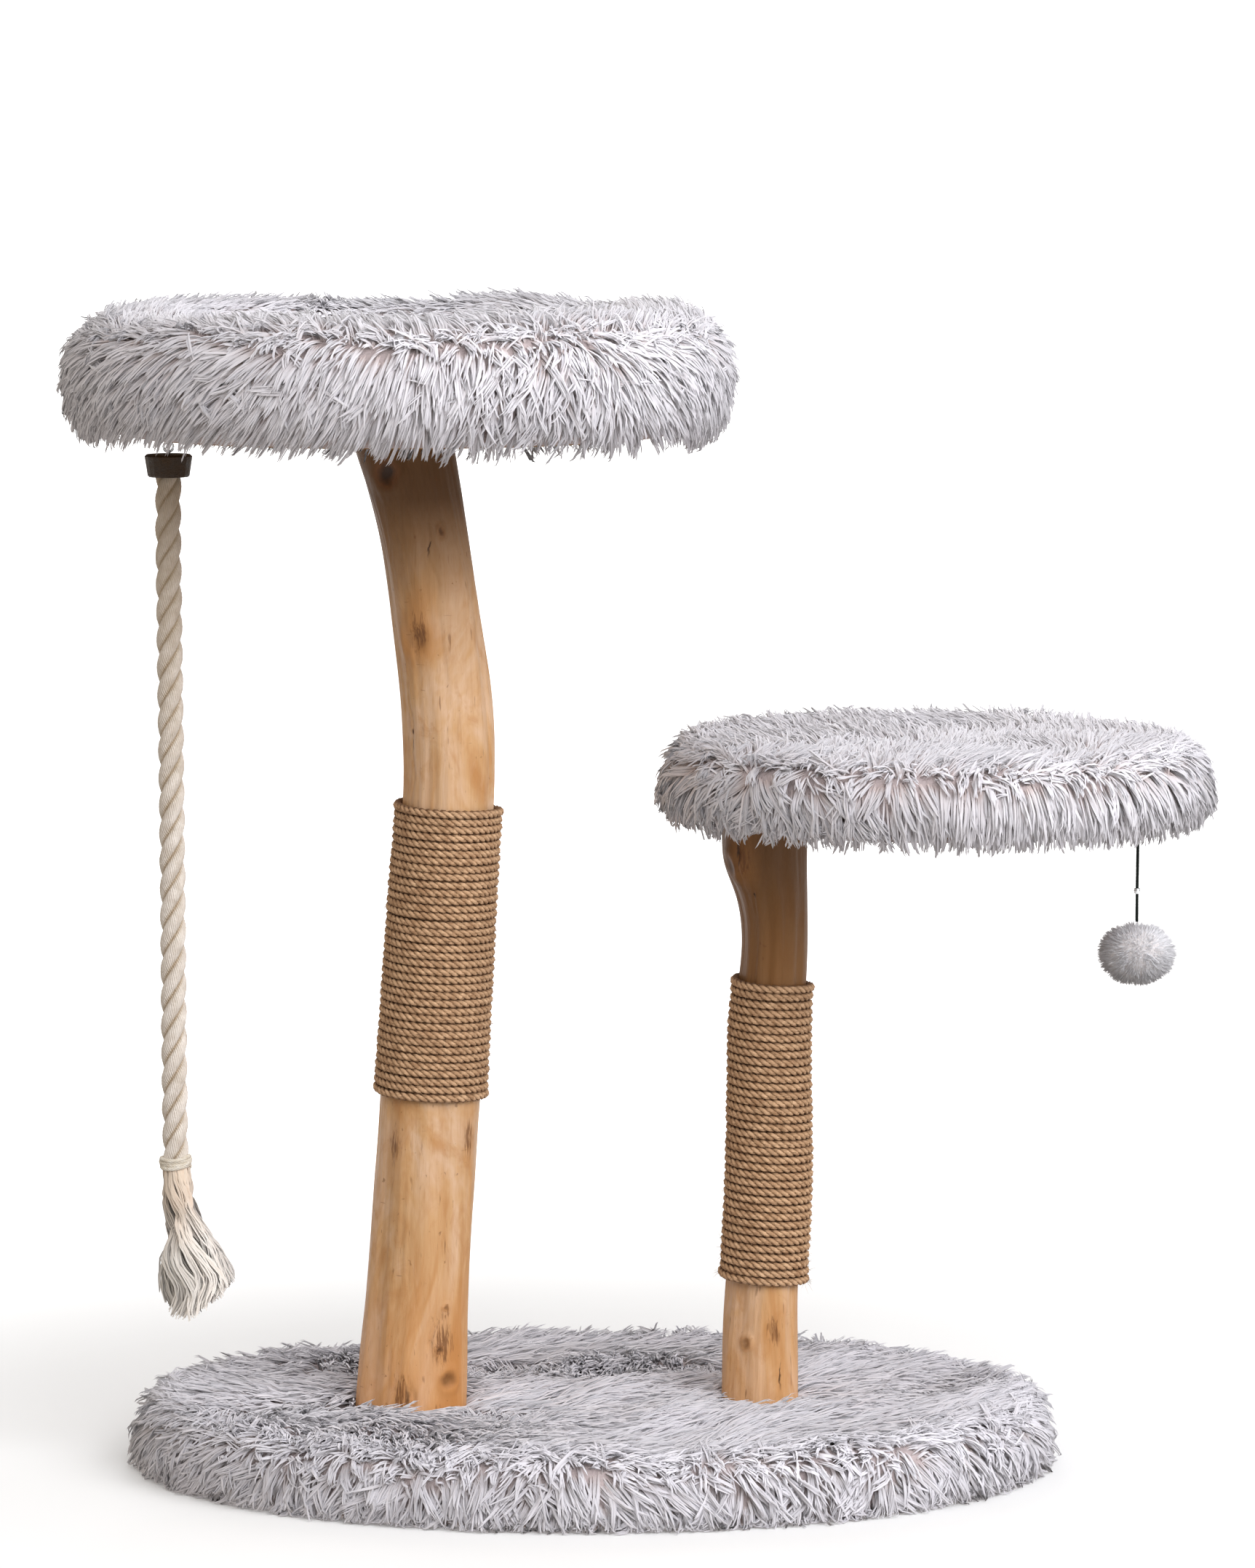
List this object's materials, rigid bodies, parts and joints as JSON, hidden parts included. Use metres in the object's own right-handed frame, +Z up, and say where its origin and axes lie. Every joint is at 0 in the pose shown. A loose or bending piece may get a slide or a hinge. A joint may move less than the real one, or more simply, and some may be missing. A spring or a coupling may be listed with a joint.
{
  "type": "cat tree",
  "caption": "Freestanding cat tree: oval fur base, natural wood trunks bound with jute, a high round bolster bed, a lower round perch, a play rope and a pompom toy.",
  "frame": {"origin": "centre of the base's underside, on the floor", "axes": "+Z up, +X from the tall trunk towards the perch, -Y to the front"},
  "size_m": [0.8548, 0.492, 0.876],
  "materials": {
    "fur": "long pale grey imitation fur",
    "pompom_fur": "short dense grey imitation fur",
    "board": "unfinished plywood",
    "foam": "open-cell foam sheet",
    "felt": "black non-woven felt",
    "steel": "bright zinc plate",
    "trunk": "peeled and lacquered natural trunk",
    "jute": "laid jute rope, glued",
    "rope": "laid cotton rope",
    "end_cap": "dark brown leather ferrule",
    "elastic": "thin black braided elastic"
  },
  "bodies": {
    "root": {"base_liner": "felt", "base_board": "board", "base_foam": "foam", "base_cover": "fur", "tall_foot_bolt": "steel", "short_foot_bolt": "steel", "tall_foot_washer": "steel", "short_foot_washer": "steel", "tall_trunk": "trunk", "tall_trunk_wrap": "jute", "short_trunk": "trunk", "short_trunk_wrap": "jute", "upper_mount_plate": "steel", "upper_mount_bolt": "steel", "perch_mount_plate": "steel", "perch_mount_bolt": "steel", "upper_mount_screw_1": "steel", "upper_mount_screw_2": "steel", "upper_mount_screw_3": "steel", "upper_mount_screw_4": "steel", "perch_mount_screw_1": "steel", "perch_mount_screw_2": "steel", "perch_mount_screw_3": "steel", "perch_mount_screw_4": "steel", "upper_bed_board": "board", "upper_bed_bolster": "fur", "upper_bed_cushion": "fur", "perch_board": "board", "perch_pad": "fur", "rope_screw_eye": "steel", "toy_screw_eye": "steel"},
    "rope_link": {"rope_link": "steel"},
    "play_rope": {"rope_end_cap": "end_cap", "play_rope": "rope", "rope_whipping": "rope", "rope_tassel": "rope"},
    "toy_loop": {"toy_loop": "elastic"},
    "pompom_toy": {"toy_top_knot": "elastic", "toy_cord": "elastic", "toy_bead": "steel", "pompom": "pompom_fur"}
  },
  "joints": [
    {"name": "rope_swing_side", "type": "hinge", "parent": "root", "child": "rope_link", "pos_m": [-0.318, 0, 0.7768], "axis": [0, 1, 0], "range_deg": [-8, 40]},
    {"name": "rope_swing_front", "type": "hinge", "parent": "rope_link", "child": "play_rope", "pos_m": [-0.318, 0, 0.7719], "axis": [1, 0, 0], "range_deg": [-35, 35]},
    {"name": "toy_swing_side", "type": "hinge", "parent": "root", "child": "toy_loop", "pos_m": [0.4096, -0.03, 0.4956], "axis": [0, 1, 0], "range_deg": [-45, 45]},
    {"name": "toy_swing_front", "type": "hinge", "parent": "toy_loop", "child": "pompom_toy", "pos_m": [0.4096, -0.03, 0.4919], "axis": [1, 0, 0], "range_deg": [-45, 45]}
  ]
}
